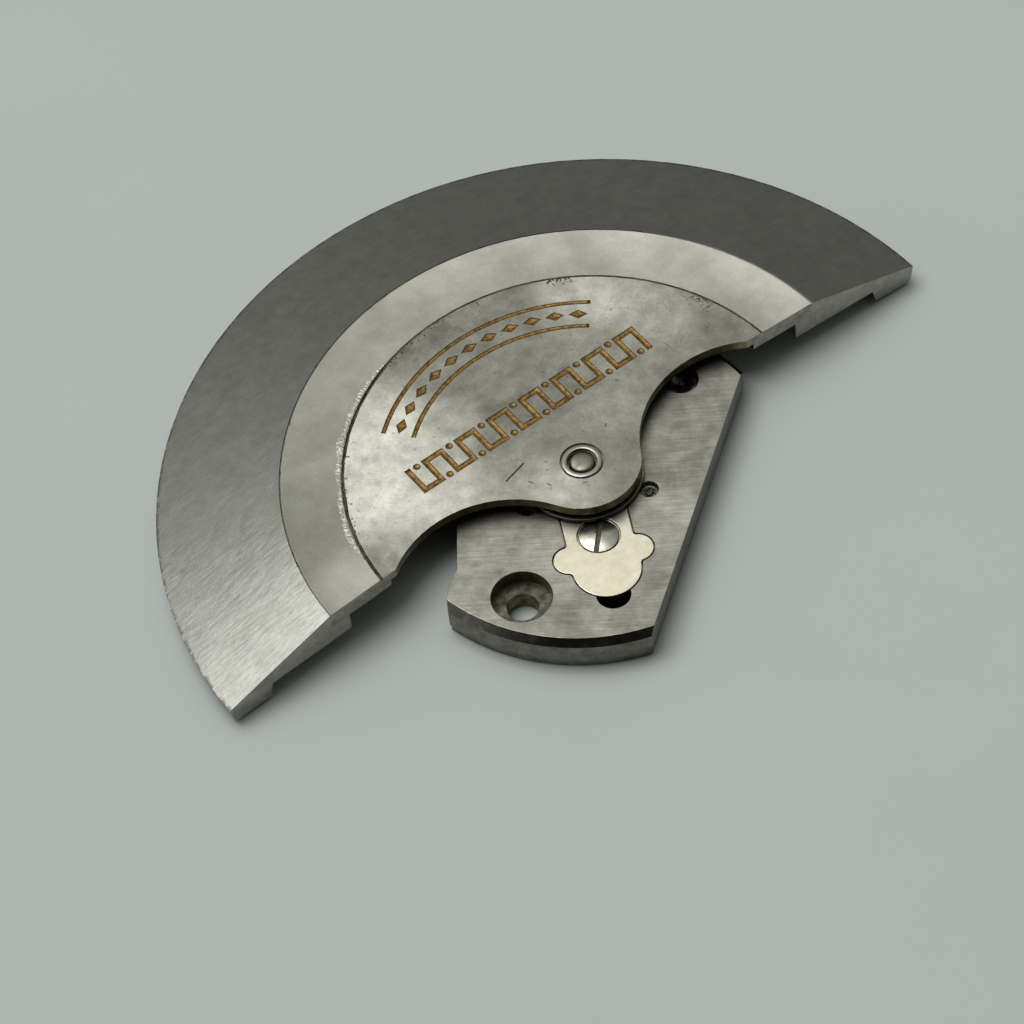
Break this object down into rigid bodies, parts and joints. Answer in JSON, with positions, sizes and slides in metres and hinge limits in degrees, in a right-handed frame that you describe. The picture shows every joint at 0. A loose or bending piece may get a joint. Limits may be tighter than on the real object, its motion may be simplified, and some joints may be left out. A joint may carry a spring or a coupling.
{
  "type": "automatic watch rotor",
  "caption": "Half-disc winding rotor of a self-winding watch, free on a plate bridge that holds its geared one-way winding train.",
  "frame": {"origin": "on the rotor's axis, in the plane of the bridge's seat on the movement", "axes": "+Z away from the movement towards the rotor's top, +Y from the axis to the middle of the heavy segment at rest, +X along the rotor's straight side"},
  "size_m": [0.027, 0.0196, 0.0019],
  "materials": {
    "heavy_rim": "dark satin, straight grain",
    "nickel_web": "nickel plate, fine matt, lightly scuffed",
    "gilt_fill": "gilt, dull",
    "polished_steel": "polished",
    "lock_polish": "mirror polish, warm",
    "nickel_bridge": "nickel plate, straight brushed grain",
    "ruby": "polished synthetic ruby",
    "bearing_bronze": "turned",
    "train_brass": "gilt brass",
    "train_steel": "hardened steel"
  },
  "bodies": {
    "bridge": {"upper_bridge": "nickel_bridge", "lower_bridge": "nickel_bridge", "lock_plate": "lock_polish", "lock_screw": "polished_steel", "plate_screws": "polished_steel", "steady_pins": "train_steel", "rotor_bearing": "bearing_bronze", "rotor_foot_jewel": "ruby", "reverser_top_jewels": "ruby", "reverser_foot_jewels": "ruby", "train_top_jewels": "ruby", "train_foot_jewels": "ruby", "drive_top_jewel": "ruby", "drive_bush": "bearing_bronze"},
    "rotor": {"rotor_rim": "heavy_rim", "rotor_web": "nickel_web", "ornament_fill": "gilt_fill", "hub_bush": "polished_steel", "rotor_axle": "polished_steel", "rotor_gear": "train_steel"},
    "reverser_a_input": {"reverser_a_input_wheel": "train_brass"},
    "reverser_a_output": {"reverser_a_output_gear": "train_brass", "reverser_a_pawls": "train_steel", "reverser_a_arbor": "train_steel"},
    "reverser_b_input": {"reverser_b_input_wheel": "train_brass"},
    "reverser_b_output": {"reverser_b_output_gear": "train_brass", "reverser_b_pawls": "train_steel", "reverser_b_arbor": "train_steel"},
    "idler": {"idler_wheel": "train_brass", "idler_arbor": "train_steel"},
    "reduction": {"reduction_wheel": "train_brass", "reduction_pinion": "train_steel"},
    "drive": {"drive_wheel": "train_brass", "drive_pinion": "train_steel"}
  },
  "joints": [
    {"name": "rotor_spin", "type": "hinge", "parent": "bridge", "child": "rotor", "pos_m": [0, 0, 0], "axis": [0, 0, 1], "continuous": true},
    {"name": "reverser_a_input_spin", "type": "hinge", "parent": "bridge", "child": "reverser_a_input", "pos_m": [-0.00215, 0.0001, 0], "axis": [0, 0, 1], "continuous": true},
    {"name": "reverser_a_output_spin", "type": "hinge", "parent": "bridge", "child": "reverser_a_output", "pos_m": [-0.00215, 0.0001, 0], "axis": [0, 0, 1], "continuous": true},
    {"name": "reverser_b_input_spin", "type": "hinge", "parent": "bridge", "child": "reverser_b_input", "pos_m": [0.00121, -0.00178, 0], "axis": [0, 0, 1], "continuous": true},
    {"name": "reverser_b_output_spin", "type": "hinge", "parent": "bridge", "child": "reverser_b_output", "pos_m": [0.00121, -0.00178, 0], "axis": [0, 0, 1], "continuous": true},
    {"name": "idler_spin", "type": "hinge", "parent": "bridge", "child": "idler", "pos_m": [-0.00062, 0.00181, 0], "axis": [0, 0, 1], "continuous": true},
    {"name": "reduction_spin", "type": "hinge", "parent": "bridge", "child": "reduction", "pos_m": [0.00249, 0.00071, 0], "axis": [0, 0, 1], "continuous": true},
    {"name": "drive_spin", "type": "hinge", "parent": "bridge", "child": "drive", "pos_m": [0.00468, 0.00099, 0], "axis": [0, 0, 1], "continuous": true}
  ],
  "couplings": [
    {"joint": "reverser_a_input_spin", "follows": "rotor_spin", "ratio": -0.79167},
    {"joint": "reverser_b_input_spin", "follows": "rotor_spin", "ratio": -0.79167},
    {"joint": "reverser_a_output_spin", "follows": "rotor_spin", "ratio": -0.79167},
    {"joint": "reverser_b_output_spin", "follows": "rotor_spin", "ratio": 0.79167},
    {"joint": "idler_spin", "follows": "rotor_spin", "ratio": 0.50893},
    {"joint": "reduction_spin", "follows": "rotor_spin", "ratio": -0.375},
    {"joint": "drive_spin", "follows": "rotor_spin", "ratio": 0.3125}
  ]
}
